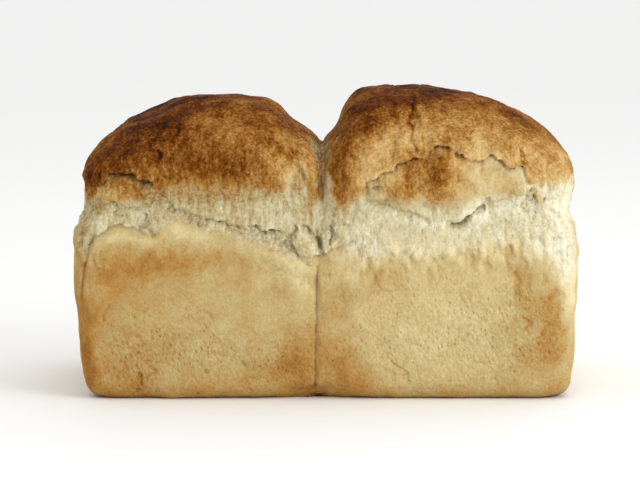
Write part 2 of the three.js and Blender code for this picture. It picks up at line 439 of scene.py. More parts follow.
FRONT = dict(
    wall_top=[
        (-127, 80), (-117, 79), (-115, 77), (-113.5, 71), (-112, 69.5), (-111, 70.5), (-110, 74),
        (-108, 77.5), (-104, 79.5), (-97, 82.5), (-94, 82), (-90, 80.5), (-84, 79), (-80, 79.5),
        (-75, 84), (-70, 86.5), (-59, 83), (-47, 80), (-35, 77), (-26, 73), (-17, 69), (-9, 66.5),
        (-0.5, 65), (5, 70.5), (11, 74.5), (16, 77), (25, 77), (49, 77), (68, 82), (90, 85), (106, 83),
        (119, 76), (127, 72),
    ],
    lip=[
        (-127, 0.5), (-116, 1), (-84, 1), (-76, 0.3), (-50, 0.3), (-40, 0.7), (-32, 1), (-4, 1), (6, 0.8),
        (13, 0.4), (20, 0.1), (127, 0),
    ],
    crust_edge=[
        (-127, 96), (-111, 96), (-106, 102), (-102, 105), (-98, 108), (-95, 106), (-92, 105.5),
        (-89, 106), (-85, 103), (-82, 102), (-77, 100), (-73, 100), (-66, 101), (-59, 101), (-48, 100),
        (-40, 100), (-33, 100.5), (-28, 99), (-25, 98), (-21, 97.5), (-18.5, 102), (-16, 107),
        (-13.5, 109.5), (-11, 110.5), (-8.7, 107), (-7.5, 101), (-5.3, 94), (-3.6, 94.5), (-2.2, 98),
        (-1.6, 108), (-0.6, 119), (0.8, 122), (1.5, 117), (2.5, 106), (4.5, 92), (8, 91), (12, 95),
        (16, 96), (20, 98), *BURST_EDGE, (94, 105.5), (97, 103.5), (104, 103), (112, 103.5), (127, 103),
    ],
    fade=[
        (-127, 5), (-108, 3), (-101, 1.6), (-81, 1.6), (-73, 10), (-60, 13), (-26, 13), (-20, 11),
        (-16, 9), (-9, 7), (-3, 4), (4, 5), (10, 10), (18, 7), (24, 1.6), (94, 1.6), (100, 7), (127, 9),
    ],
    overhang=[
        (-127, 0.5), (-108, 1.4), (-91, 2.4), (-80, 1.6), (-70, 0.7), (-20, 0.5), (10, 0.5), (24, 1.2),
        (45, 1.7), (90, 1.7), (100, 0.7), (127, 0.3),
    ],
    fresh=[(-127, 0), (-6, 0), (-1, 1), (127, 1)],
    tear=[
        (-127, 200), (-90, 110), (-80, 101), (-77, 97), (-73, 92), (-68, 89.5), (-61, 86.5), (-52, 84),
        (-42, 82), (-33, 80), (-24, 79), (-16, 77), (-10, 110), (0, 200), (127, 200),
    ],
    lobes=[
        dict(
            bottom=[(-110, 95), (-100, 93), (-90, 92), (-80, 94.5)],
            left=-109, right=-78, height=1.2,
            tints=[
                (-99, 104, 11, 3.5, 0.22), (-89, 101.5, 3, 3.5, 0.12, 40), (-96, 96, 8, 3, -0.08),
                (-106, 92, 3.5, 4, 0.14),
            ],
        ),
        dict(
            bottom=[
                (18, 93), (23, 94), (31, 90.5), (40, 88), (52, 86), (60, 85), (65, 85.5), (68, 88.5),
                (71, 91.5), (75, 93.5), (79, 93.5), (94, 93.5),
            ],
            left=20, right=94.5, height=2.6,
            tints=[
                (51, 108, 11, 13, 0.36), (60, 105, 5, 6, 0.05), (52, 115, 8, 5, 0.2),
                (29, 98, 9, 6, 0.26, 20), (38, 107, 7, 6, 0.3, 40), (78, 106, 12, 7, 0.03, -5),
                (89, 101, 6, 5, 0.18), (72, 96, 8, 5, -0.16, 30), (46, 89, 18, 3.5, 0.05, -8),
                (90, 96, 9, 4, -0.08),
            ],
        ),
    ],
    cracks=[
        SEAM_CRACK,
        # the lip of the left wall, and the edge of the front down its left end
        ([
            (-80, 78.5), (-84, 79), (-90, 80.5), (-94, 82), (-97, 82.5), (-101, 81.5), (-104, 79.5),
            (-108, 77.5), (-110, 74), (-111.5, 69), (-113.2, 61), (-114.1, 54.6), (-114.4, 49.5),
            (-114.2, 42),
        ], 0.7, 1.8, 0.6, 0.1, True),
        ([(-80, 79), (-84, 79.5), (-87, 80.5)], 0.8, 1.3, 0.55),
        ([(-115.5, 79), (-114.3, 76), (-113.8, 72), (-112.5, 69)], 0.6, 0.9, 0.5, 0.15, True),
        # under the left crust
        ([(-108, 99), (-103, 104), (-98, 107.5), (-89, 106), (-82, 102), (-77, 99)], 1, 2.2, 0.75),
        ([(-101, 105), (-97, 107), (-91, 106), (-87, 104.5)], 2, 2.6, 0.95),
        ([(-87, 104), (-84, 102.5), (-80, 101.5)], 1.2, 2, 0.8),
        ([(-79, 100.5), (-76, 96), (-73, 91.5), (-68, 89)], 0.9, 1, 0.3),
        # in the recess behind the left lip
        ([(-100, 96), (-99, 91), (-97, 87), (-92, 83)], 0.7, 1.2, 0.55),
        ([(-100.3, 95.5), (-99, 92)], 0.9, 1.6, 0.9),
        ([(-85, 80), (-84, 83), (-82.5, 87.5)], 1.1, 1.6, 0.6),
        # the long tear
        ([(-73, 92), (-68, 89.5), (-52, 84), (-42, 82), (-27, 79), (-16, 77)], 0.8, 0.9, 0.2),
        ([(-35, 80.5), (-30, 79.5), (-24, 79), (-19, 78.5), (-16.5, 76)], 0.7, 0.8, 0.3),
        # over the right wall's lip
        ([(-40, 79), (-33, 77), (-24, 73.5), (-16, 70), (-11, 67.5), (-5, 65.5)], 0.8, 1, 0.3),
        # round the burst
        ([(17, 92), (18.5, 96), *BURST_EDGE, (95, 103.5)], 0.8, 1.1, 0.25),
        ([(33, 110), (27, 106), (22, 102.5), (19.5, 98), (17.5, 93)], 0.8, 1.4, 0.5),
        ([(30, 108), (34, 111), (39, 112.5), (44, 114)], 1.3, 1.8, 0.7),
        ([(50, 118), (53.5, 120), (58, 117.5)], 1.2, 2, 0.8),
        ([(61, 117.5), (64, 115.5), (66, 112.5)], 1.1, 2, 0.7),
        ([(73, 113.5), (77.5, 116), (82, 113), (89, 109), (96, 103.5)], 1.1, 1.7, 0.65),
        ([(69, 112.5), (74, 111.5), (80, 110.5), (87, 107.5)], 2.4, 1.6, 0.3),
        ([
            (54, 81), (60, 81.5), (65, 82.5), (68, 86), (71, 89.5), (74.5, 91.5), (77, 90.5),
        ], 0.9, 1.9, 0.7),
        ([(58, 81), (63.5, 83), (67.5, 87.5)], 1.7, 1.8, 0.75),
        ([(75.5, 95.5), (77, 93), (79, 90)], 0.8, 1, 0.45),
        ([(77, 83), (80, 84.5), (84, 85.5), (93, 84)], 0.7, 0.8, 0.3),
        ([(95, 103), (93, 98), (92.5, 93), (93, 86)], 0.9, 1.8, 0.5),
        ([(103, 90), (106, 89), (109, 86), (108, 84)], 0.7, 1, 0.5),
        ([(101, 84), (103, 82.5), (104.5, 84)], 0.7, 1, 0.5),
        ([(104, 76.5), (107, 78), (112, 78.5)], 0.8, 1.3, 0.6),
        ([(98, 103), (101, 105), (103, 107), (105, 112)], 0.8, 0.9, 0.35),
        ([(23, 94.5), (31, 91), (40, 88.5), (50, 87)], 0.9, 0.9, 0.35),
        # the deep fold between the halves
        ([
            (-2, 124), (-2, 114), (-3, 108), (-3, 98), (-4, 90), (-4.5, 84), (-4.5, 79), (-3, 70),
            (-4, 66),
        ], 1, 1.6, 0.2, 0.12, True),
        ([(-3, 109), (-3, 103), (-3.6, 97)], 0.9, 0.8, 0.25, 0.15, True),
        ([(-4, 65.5), (0, 68), (4, 71), (11, 75), (16, 77.5)], 0.8, 1.2, 0.55),
        ([(-7, 93), (-6.5, 86), (-6, 80)], 0.8, -1.1, 0),
        # round the flap, and beside the petals right of the fold
        ([(-11.5, 84.5), (-14.5, 81.5), (-16.5, 78), (-17.3, 74), (-16.5, 71)], 0.6, 1.2, 0.7),
        ([(-11, 84.5), (-7.6, 79.5), (-4.8, 75), (-2, 70.5), (-0.3, 66)], 0.7, 1.6, 0.8),
        ([(3, 84), (3.2, 78), (2.5, 72)], 0.8, 1.2, 0.5), ([(9, 86), (8.5, 80), (7, 74)], 0.8, 0.9, 0.35),
    ],
    wrinkles=[
        ([(-58, 141), (-64, 136), (-69, 133), (-77, 128), (-82, 120), (-83, 115)], 1.2, 1, 0.1),
        ([(-69, 130), (-70, 126), (-71, 120)], 0.8, 0.8, 0.21),
        ([(-77, 118), (-78, 115), (-79, 112)], 0.9, 0.8, 0.24),
        ([(-53, 130), (-49, 132), (-42, 132), (-36, 128)], 1.2, 0.6, 0.09),
        ([(-20, 119), (-16, 113), (-10, 105)], 1.1, 0.9, 0.12),
        ([(-14, 122), (-12, 116), (-8, 109)], 1.1, 0.9, 0.12),
        ([(-27, 124), (-24, 119), (-19, 114)], 1, 0.5, 0.12),
        ([(42, 143), (42, 137), (40, 131), (41, 125), (43, 120), (47, 116)], 0.8, 1.1, 0.3),
        ([(43.5, 141), (43.5, 132), (43, 126)], 1.6, -0.7),
        ([(33, 140), (32, 135), (33, 129), (29, 123)], 1.1, 0.7, 0.09),
        ([(25, 129), (24.5, 125), (25, 120)], 1.1, 0.7, 0.11),
        ([(32, 122), (32.5, 118), (31, 113)], 0.9, 0.6, 0.12),
        ([(58, 136), (57, 129), (55, 123)], 1.1, 0.8, 0.09),
        ([(67, 130), (66, 125), (68, 119)], 1.1, 0.7, 0.09),
        ([(77, 131), (76, 125), (76, 118)], 1.1, 0.7, 0.09),
        ([(84, 124), (85, 119), (84, 115)], 1, 0.6, 0.09),
        ([(92, 119), (92, 114), (91, 111)], 0.8, 1.1, 0.3),
        ([(104, 111), (107, 114), (109, 116)], 0.9, 0.8, 0.12),
        ([(68, 72), (68, 67), (69, 62)], 0.85, 0.9, 0.08), ([(54, 71), (54, 66)], 0.77, 0.6, 0.06),
        ([(75, 69), (75, 64), (76, 59)], 0.94, 0.9, 0.07),
        ([(85, 75), (86, 67), (86, 60)], 0.85, 1, 0.08), ([(91, 67), (91.5, 63)], 0.77, 0.9, 0.08),
        ([(89, 62), (90, 55), (90.5, 48)], 1.44, 1.1, 0.07),
        ([(94, 61), (95, 57), (97, 53)], 1.1, 0.8, 0.04),
        ([(102, 61), (103, 57), (102, 53)], 1.02, 0.8, 0.07),
        ([(103, 46), (105, 49.5), (111, 50), (110, 44), (109, 38)], 1.1, 0.9, 0.06),
        ([(106, 66), (106.5, 64), (107, 62)], 0.51, 0.8, 0.11),
        ([(72, 78), (72, 70), (72, 62)], 1.4, -0.8), ([(80, 80), (80, 72), (79, 64)], 1.4, -0.8),
        ([(88, 79), (88, 73), (89, 67)], 1.4, -0.8), ([(23.5, 62), (27, 57), (31, 52)], 1.6, -0.9),
        ([(8, 50), (12, 52), (18, 55)], 1.5, -0.8), ([(17, 58), (20, 64), (22, 70)], 1.19, 0.7, 0.02),
        ([(29, 20), (34, 15), (41, 8)], 0.77, 1, 0.08), ([(27, 17), (30, 12), (33, 7)], 0.77, 0.7, 0.06),
        ([(-108, 68.5), (-105, 65.5), (-102, 62)], 1.3, -0.8),
        ([(-105, 73), (-107, 70), (-105, 67)], 0.59, 0.6, 0.07),
        ([(-60, 42), (-56, 41.5), (-51, 38.5)], 0.77, 0.7, 0.06),
        ([(-102, 45), (-103.5, 41), (-102.5, 37)], 0.77, 0.9, 0.1),
        ([(-91, 23), (-91, 19)], 0.68, 0.9, 0.13), ([(-88.5, 15), (-87.5, 11), (-88, 6)], 0.68, 1, 0.13),
        ([(-85, 19), (-82, 13), (-84, 7)], 0.68, 0.9, 0.11),
        ([(-59, 18), (-57, 15), (-56, 12)], 0.68, 0.7, 0.1), ([(-39, 18), (-38, 14)], 0.59, 0.8, 0.11),
        ([(-36, 7), (-35, 3)], 0.59, 0.8, 0.13), ([(94, 40), (95, 36), (93, 33)], 0.77, 0.8, 0.08),
        ([(101, 39), (103.5, 36), (102, 32)], 0.77, 0.8, 0.08),
    ],
    tongues=[
        ([
            (-12.3, 84), (-11.8, 79), (-10.6, 75), (-8, 70.5), (-5.5, 66.5),
        ], (0.8, 3.2, 4.8, 5.6, 5), 2.8, -0.04),
        ([(-113, 78), (-112.2, 72)], (2, 2.2), 0.9, -0.06), ([(75, 91.5), (73.5, 83)], (1, 6), 2.2, -0.2),
        ([(83, 90), (89, 88.5)], (5.5, 5.5), 0.8, -0.02),
        ([(7.5, 87), (6, 79), (4.5, 72.5)], (0.8, 2.4, 1.8), 1.5, -0.02),
        ([(1, 81), (0.3, 75), (-0.5, 70)], (0.8, 2.4, 1.6), 1.1, 0),
    ],
    swells=[
        (-90, 87, 10, 5, -1.6), (-72, 84, 9, 4, 0.6, -10), (-7, 113, 4, 6, 1.2), (98, 96, 4, 4, 0.8),
        (98, 87, 5, 4, -1.2), (106, 99, 6, 6, 0.6), (108, 75, 5, 4, 1), (60, 77, 7, 3, -0.6),
        (14, 52, 7, 3, 0.5, -20), (23, 72, 8, 4, 0.7, 10), (40, 80, 10, 4, 0.6, 5),
        (-50, 38, 34, 20, -0.7), (55, 38, 44, 20, -0.6), (-5, 1, 15, 5, -4.2),
    ],
    holes=[
        (-70, 88.5, 0.9, 1.4), (-66, 88, 0.7, 1), (-60, 84, 0.9, 1.2), (-55, 85, 0.8, 1.2),
        (-49, 83.5, 0.8, 1.2), (-42, 81.5, 1, 1.6), (-38, 80.5, 0.8, 1.4), (-33, 79.5, 0.9, 1.6),
        (-27, 78.5, 1, 1.8), (-22, 79, 0.8, 1.4), (-18, 77, 0.9, 1.4), (-84, 79.5, 0.8, 1.2),
        (-82, 78.7, 0.8, 1.4), (-80, 78.4, 0.8, 1.4), (-27, 74, 0.8, 1.2), (93, 97, 0.9, 1.8),
        (95, 99, 0.9, 1.8), (97.5, 96, 0.9, 1.8), (99, 98.5, 0.8, 1.6), (101.5, 94, 1, 1.8),
        (96, 92, 0.8, 1.4), (74, 96, 0.8, 1.2), (76, 95, 0.8, 1.3), (48, 86.5, 0.9, 1),
        (31, 90.5, 0.9, 1), (-26, 61, 0.7, 1), (-51, 61, 0.6, 0.7), (-116, 40, 0.8, 1),
        (-85, 47, 0.7, 0.9), (-86, 41, 0.8, 0.9), (-83, 40, 0.7, 0.9), (-90, 39, 0.8, 0.9),
        (-65, 42, 0.7, 0.8), (-90, 4.5, 0.8, 0.8), (-88, 6, 0.8, 1), (-80, 3.5, 0.7, 0.8),
        (-68, 3, 0.8, 0.8), (-60, 3, 0.7, 0.8), (-53, 3, 0.7, 0.8), (-34, 4, 0.8, 0.8),
    ],
    skin=[(-97, 100, 14, 6, 1.2), (54, 107, 38, 12, 1.6), (98, 97, 4, 3.5, 0.6)],
    crumbs=[
        ([(-78, 95), (-68, 88), (-59, 84.5), (-40, 80), (-18, 76)], 70),
        ([(93, 98), (98, 95), (102, 92)], 10), ([(95, 90), (99, 87), (102, 84)], 8),
    ],
    crumb_patches=[(97, 91, 6, 8, 0.8), (0, 104, 4, 22, 0.6), (-92, 89, 7, 5, 0.3)],
    fibres=[(-15, 90, 8, 12, 1.3), (6, 82, 6, 12, 1.8)],
    pits=[
        (-62, 24, 30, 15, 1), (-95, 18, 16, 16, 0.8), (-18, 16, 18, 12, 0.6), (45, 26, 50, 24, 0.8),
        (90, 32, 24, 22, 0.7), (50, 48, 40, 12, 0.3),
    ],
    crust_tints=[
        (-101, 108, 14, 12, 0.12), (-110, 112, 7, 16, 0.14), (-72, 118, 12, 14, 0.1),
        (-94, 117, 10, 7, -0.02), (-98, 126, 16, 12, 0.16), (-76, 132, 22, 8, 0.18, 35),
        (-68, 138, 40, 7, 0.14), (-26, 129, 7, 6, 0.14), (-104, 103, 6, 5, -0.04),
        (-50, 108, 28, 12, 0.09), (-24, 112, 14, 12, -0.12), (-24, 107, 3.5, 6, 0.14),
        (-9, 101, 3, 6, 0.1), (-20, 101, 6, 8, -0.24), (-8, 114, 6, 10, -0.16), (17, 134, 9, 12, 0.16),
        (25, 141, 14, 5, 0.22), (41, 130, 6, 10, -0.06), (43, 121, 4, 5, -0.14), (8, 114, 5, 22, 0.2),
        (9, 100, 4, 8, -0.04), (21, 107, 10, 10, -0.37), (34, 120, 13, 7, -0.24), (41, 115, 6, 2.5, 0.14),
        (70, 119, 8, 5, -0.12), (50, 119, 7, 4, 0.08), (54, 126, 9, 5, -0.08), (78, 116, 18, 8, -0.26),
        (96, 125, 8, 5, 0.14), (76, 128, 30, 10, -0.085), (108, 112, 16, 12, -0.2),
        (106, 104, 12, 4, -0.08), (50, 143, 22, 4, 0.24),
    ],
    cream=[
        (113, 68, 7, 13, 1), (74, 84, 8, 6, 0.8), (89, 87, 10, 7, 0.8), (60, 77, 40, 8, 0.65, 8),
        (17, 75, 12, 7, 0.8), (103, 78, 9, 8, 1),
    ],
    torn_tints=[
        (-106, 91, 3, 4, 0.16), (-90, 97, 5, 2.5, 0.06), (-87, 85, 9, 6, -0.14), (-79, 99, 9, 4, 0.14),
        (-106, 84, 6, 7, -0.12), (-77, 92, 6, 6, 0.02, -40), (-66, 96, 8, 3, 0.08, -30),
        (-48, 82, 30, 3.5, -0.03, -12), (-26, 80, 10, 5, -0.1, -12), (-44, 97, 24, 5, 0.14),
        (-13, 107, 5, 8, 0.16), (-7, 96, 1.6, 8, 0.3, 8), (-22, 99, 2.5, 5, 0.1), (0, 118, 6, 14, 0.06),
        (0, 100, 4, 14, 0.03), (2, 78, 10, 10, 0.08), (8, 92, 6, 6, 0.16), (71, 86, 7, 5, -0.16),
        (85, 90, 9, 5, -0.06), (98, 97, 4, 3, 0.24, -20), (98, 87, 5, 4, 0.04), (95, 92, 7, 12, -0.1),
        (11, 74, 9, 6, 0.09), (27, 76, 8, 5, 0.13), (-22, 90, 9, 8, -0.08), (-18, 98, 5, 6, -0.08),
        (103, 82, 9, 8, -0.04), (112, 82, 6, 16, 0.06), (-114, 84, 6, 12, 0.2), (111, 90, 9, 14, -0.18),
        (108, 76, 10, 9, -0.16), (40, 80, 30, 6, 0.05),
    ],
    wall_tints=[
        (-101, 57, 7, 8, 0.08), (-78, 62, 18, 14, 0.05), (-72, 16, 14, 12, 0.05), (-93, 64, 10, 5, 0.08),
        (-76, 64, 13, 5, 0.05), (-52, 69, 7, 4, 0.08), (-37, 66, 5, 4, 0.05), (-66, 64, 44, 11, 0.06),
        # The last two tints on the next line darken the front's left edge: painted shade.
        (-94, 44, 22, 30, 0.07), (-118, 50, 3, 30, 0.14), (-113, 22, 5, 26, 0.2),
        (-101, 10, 16, 12, 0.12), (-106, 40, 8, 22, 0.04), (-60, 3, 60, 5, 0.1), (-12, 18, 11, 16, 0.15),
        (-24, 14, 16, 10, 0.08), (-4, 40, 9, 18, 0.07), (-11, 60, 6, 15, -0.16),
        (-66, 81, 16, 5, -0.12, -12), (-96, 78, 13, 3.5, -0.12, -5), (-28, 70, 18, 5, -0.07, -22),
        (38, 71, 8, 4, -0.08), (26, 72, 8, 4, 0.06), (16, 62, 7, 8, -0.05), (103, 77, 10, 8, -0.04),
        (8, 18, 9, 18, 0.17), (16, 8, 12, 6, 0.1), (55, 3, 70, 5, 0.09), (58, 36, 40, 20, -0.08),
        # The tint at u 112 on the next line pales the front's right edge: painted highlight.
        (67, 65, 6, 7, 0.09), (112, 48, 5, 10, -0.1), (106, 34, 5, 12, 0.12), (30, 66, 16, 12, 0.04),
        (22, 57, 5, 7, 0.08, -15), (10, 49, 8, 7, 0.06), (92, 48, 12, 16, 0.09), (92, 56, 4, 8, 0.06),
        # The tint at u 116 on the next line and the one below pale the front's right edge: painted
        # highlight.
        (107, 44, 4, 8, 0.08), (102, 24, 16, 20, 0.13), (116, 50, 4, 20, -0.12), (64, 71, 50, 8, -0.1),
        (112, 72, 7, 14, -0.12),
    ],
)
BACK = dict(
    wall_top=[
        (-127, 64), (-113, 74), (-96, 81), (-78, 84), (-60, 82), (-40, 77), (-20, 70), (-6, 64), (4, 68),
        (16, 75), (34, 81), (52, 83), (72, 79), (92, 80), (108, 76), (127, 66),
    ],
    lip=[
        (-127, 0.6), (-90, 1), (-70, 0.3), (-44, 0.8), (-6, 1), (10, 0.3), (50, 0.9), (80, 0.2),
        (127, 0.7),
    ],
    crust_edge=[
        (-127, 103), (-108, 105), (-90, 111), (-74, 112), (-56, 106), (-38, 100), (-22, 103), (-12, 112),
        (-6, 126), (-2, 131), (2, 124), (8, 112), (18, 102), (34, 99), (50, 104), (66, 108), (82, 105),
        (100, 103), (127, 105),
    ],
    fade=[
        (-127, 7), (-100, 3), (-60, 2), (-40, 9), (-10, 4), (6, 4), (20, 10), (44, 6), (70, 2), (90, 8),
        (127, 8),
    ],
    overhang=[
        (-127, 0.6), (-90, 2.2), (-56, 2), (-36, 0.8), (10, 0.5), (50, 1.2), (68, 2), (92, 0.9),
        (127, 0.5),
    ],
    fresh=[(-127, 0.8), (-60, 0.7), (-30, 0.3), (-4, 0.2), (20, 0.2), (60, 0.6), (127, 0.8)],
    tear=[(-127, 200), (8, 120), (16, 84), (32, 88), (50, 92), (68, 96), (82, 93), (92, 120), (127, 200)],
    lobes=[
        dict(
            bottom=[(-102, 94), (-92, 92), (-80, 90), (-66, 90), (-52, 94)],
            left=-101, right=-53, height=2.2,
            tints=[(-84, 103, 11, 9, 0.3), (-66, 101, 9, 7, 0.2)],
        ),
    ],
    cracks=[
        SEAM_CRACK,
        ([(-104, 97), (-98, 104), (-90, 110), (-74, 111), (-60, 107), (-52, 100)], 1, 2.2, 0.8),
        ([(-96, 107), (-88, 111), (-80, 111)], 1.8, 2, 0.8),
        ([(-60, 88), (-52, 90), (-46, 95)], 1.2, 1.8, 0.6),
        ([(-88, 88), (-84, 84), (-83, 82)], 0.9, 1.2, 0.5),
        ([(-40, 90), (-38, 84), (-34, 79)], 0.9, 1.1, 0.4),
        ([(-30, 76), (-18, 72), (-6, 65)], 0.8, 1.2, 0.4),
        ([(16, 83), (32, 87), (50, 91), (68, 95), (80, 93)], 1, 1.4, 0.5),
        ([(58, 106), (66, 108), (76, 106), (84, 102)], 1.3, 2.2, 0.8),
        ([(92, 92), (98, 88), (100, 82)], 0.9, 1.3, 0.5),
        ([(104, 90), (110, 86), (113, 80)], 0.8, 1, 0.4),
        ([(44, 84), (52, 84.5), (60, 82)], 0.8, 1.4, 0.6),
        ([(-3, 130), (-3, 118), (-4, 104), (-3, 90), (-4, 76), (-4, 66)], 1, 1.8, 0.55),
        ([(3, 100), (2, 90), (3, 80)], 1, 1.2, 0.4), ([(-9, 100), (-8, 88), (-9, 78)], 1, 1, 0.4),
    ],
    wrinkles=[
        ([(-50, 140), (-54, 132), (-52, 122), (-55, 114)], 1.3, 0.9, 0.15),
        ([(-92, 128), (-94, 121), (-92, 115)], 1.1, 0.7, 0.15),
        ([(-34, 132), (-31, 124), (-33, 114)], 1.1, 0.7, 0.15),
        ([(20, 138), (23, 128), (20, 118)], 1.2, 0.9, 0.15),
        ([(54, 140), (52, 130), (55, 120), (53, 112)], 1.2, 1, 0.17),
        ([(76, 130), (78, 122), (76, 114)], 1.1, 0.7, 0.15),
        ([(96, 120), (97, 114), (95, 109)], 1, 0.8, 0.15),
        ([(-80, 80), (-78, 72), (-79, 64)], 1.2, 0.9, 0.07),
        ([(-66, 78), (-64, 70), (-66, 62)], 1.2, 0.8, 0.05),
        ([(38, 76), (40, 68), (38, 60)], 1.2, 0.8, 0.05),
        ([(66, 76), (64, 68), (66, 58)], 1.2, 0.9, 0.07),
        ([(96, 74), (95, 66), (97, 58)], 1.2, 0.8, 0.07),
        ([(-30, 22), (-24, 17), (-20, 10)], 1, 0.9, 0.1), ([(70, 24), (73, 18), (72, 11)], 0.9, 0.8, 0.1),
    ],
    tongues=[
        ([(-50, 92), (-46, 84)], (1, 5), 1.6, -0.1), ([(86, 92), (89, 84)], (1, 5.5), 1.6, -0.08),
        ([(4, 84), (6, 76), (7, 70)], (0.8, 3, 4.5), 2.4, -0.1),
    ],
    swells=[
        (-64, 87, 10, 4, -1.2), (30, 94, 12, 5, -0.8), (64, 101, 9, 4, 1.4), (-55, 36, 36, 20, -0.7),
        (58, 36, 40, 20, -0.7), (-5, 1, 9, 4, -1.6),
    ],
    holes=[(-47, 95, 1.1, 1.8), (-84, 84, 1, 1.6), (98, 90, 1, 1.6), (46, 84, 1, 1.6)],
    skin=[(-76, 102, 24, 8, 1.4), (66, 102, 9, 4, 0.8)],
    crumbs=[
        ([(16, 82), (40, 87), (60, 92), (80, 91)], 30), ([(-104, 92), (-98, 86)], 6),
        ([(100, 92), (108, 86)], 8),
    ],
    crumb_patches=[(-3, 104, 5, 24, 0.8), (-100, 90, 5, 6, 0.7), (104, 90, 6, 6, 0.7)],
    fibres=[(-14, 86, 8, 12, 1.4), (22, 92, 14, 10, 1.2)],
    pits=[(-60, 24, 34, 16, 0.9), (50, 24, 40, 16, 0.9), (95, 34, 16, 16, 0.6)],
    crust_tints=[
        (-100, 118, 18, 18, 0.12), (-60, 128, 24, 16, 0.05), (-24, 124, 12, 14, -0.1),
        (26, 130, 18, 18, 0.14), (100, 112, 14, 10, -0.1), (36, 106, 14, 6, -0.14),
    ],
    cream=[(-44, 80, 12, 6, 0.7), (86, 82, 14, 6, 0.8)],
    torn_tints=[
        (-70, 96, 20, 6, 0.06), (-44, 92, 8, 6, -0.1), (-16, 92, 8, 14, -0.06), (-1, 116, 6, 14, 0.2),
        (10, 104, 5, 8, 0.16), (40, 96, 16, 5, -0.08), (66, 101, 8, 4, 0.24), (88, 88, 9, 6, -0.14),
        (104, 96, 8, 6, 0.1),
    ],
    wall_tints=[
        (-70, 64, 34, 8, 0.12), (40, 64, 30, 8, 0.1), (92, 56, 12, 14, 0.14), (-110, 30, 8, 30, 0.14),
        (110, 26, 8, 26, 0.14), (-60, 4, 60, 6, 0.14), (55, 4, 70, 6, 0.15), (-18, 18, 12, 14, 0.18),
        (9, 18, 12, 14, 0.18),
    ],
)
LEFT_END = dict(
    wall_top=[
        (-72, 76), (-58, 78), (-44, 82), (-26, 80), (-8, 76), (12, 80), (30, 83), (48, 80), (60, 72),
        (72, 66),
    ],
    lip=[(-72, 0.6), (-46, 1), (-20, 0.3), (8, 0.9), (40, 1), (60, 0.6), (72, 0.6)],
    crust_edge=[
        (-72, 99), (-54, 100), (-38, 104), (-20, 101), (0, 98), (20, 102), (40, 106), (56, 104),
        (72, 103),
    ],
    fade=[(-72, 6), (-44, 3), (-22, 8), (6, 9), (24, 3), (44, 2), (72, 6)],
    overhang=[(-72, 0.5), (-40, 1.3), (-10, 0.6), (24, 1.4), (44, 1.8), (72, 0.6)],
    fresh=[(-72, 0), (-40, 0.2), (0, 0.6), (40, 0.4), (72, 0.8)],
    tear=[(-72, 120), (-50, 92), (-34, 88), (-18, 90), (0, 87), (16, 90), (26, 120), (72, 200)],
    lobes=[
        dict(
            bottom=[(14, 90), (28, 88), (44, 91), (54, 94)],
            left=15, right=53, height=1.8,
            tints=[(34, 98, 12, 6, 0.22)],
        ),
    ],
    cracks=[
        ([(12, 92), (20, 101), (36, 105), (48, 104), (55, 98)], 1, 2, 0.75),
        ([(-50, 91), (-34, 87), (-18, 89), (0, 86), (14, 89)], 0.9, 1.3, 0.45),
        ([(-48, 100), (-38, 103), (-28, 102)], 1.4, 1.8, 0.7),
        ([(-12, 84), (-8, 78), (-9, 74)], 0.9, 1.1, 0.4), ([(30, 85), (40, 84), (50, 80)], 0.8, 1.3, 0.5),
    ],
    wrinkles=[
        ([(-20, 128), (-18, 118), (-21, 108)], 1.1, 0.7, 0.15),
        ([(16, 130), (13, 120), (15, 110)], 1.1, 0.8, 0.15),
        ([(44, 120), (45, 114), (43, 108)], 1, 0.6, 0.12),
        ([(-28, 76), (-26, 68), (-28, 60)], 1.2, 0.8, 0.07),
        ([(20, 78), (21, 70), (19, 62)], 1.2, 0.8, 0.07), ([(2, 24), (6, 17), (5, 10)], 0.9, 0.8, 0.1),
    ],
    tongues=[([(8, 90), (10, 82)], (1, 5), 1.5, -0.1)],
    swells=[(-54, 93, 14, 7, 1.8), (-10, 94, 14, 5, -0.6), (0, 36, 36, 22, -0.8)],
    holes=[(-34, 88, 1.2, 2), (14, 90, 1, 1.8), (-60, 72, 0.8, 0.9)],
    skin=[(34, 98, 16, 7, 1.3)],
    crumbs=[([(-50, 90), (-30, 86), (-8, 86), (12, 87)], 22)],
    crumb_patches=[],
    fibres=[(-20, 94, 20, 8, 0.8)],
    pits=[(0, 24, 40, 16, 0.9)],
    crust_tints=[(-40, 114, 16, 12, 0.14), (10, 118, 20, 14, 0.05), (44, 112, 12, 10, 0.1)],
    cream=[(10, 84, 10, 6, 0.7)],
    torn_tints=[(-30, 95, 12, 4, 0.06), (0, 92, 14, 5, -0.08), (12, 84, 6, 5, -0.12)],
    wall_tints=[
        (-20, 64, 30, 8, 0.1), (36, 60, 16, 10, 0.1), (0, 4, 60, 6, 0.14), (-56, 30, 8, 26, 0.1),
        (56, 30, 8, 26, 0.14),
    ],
)
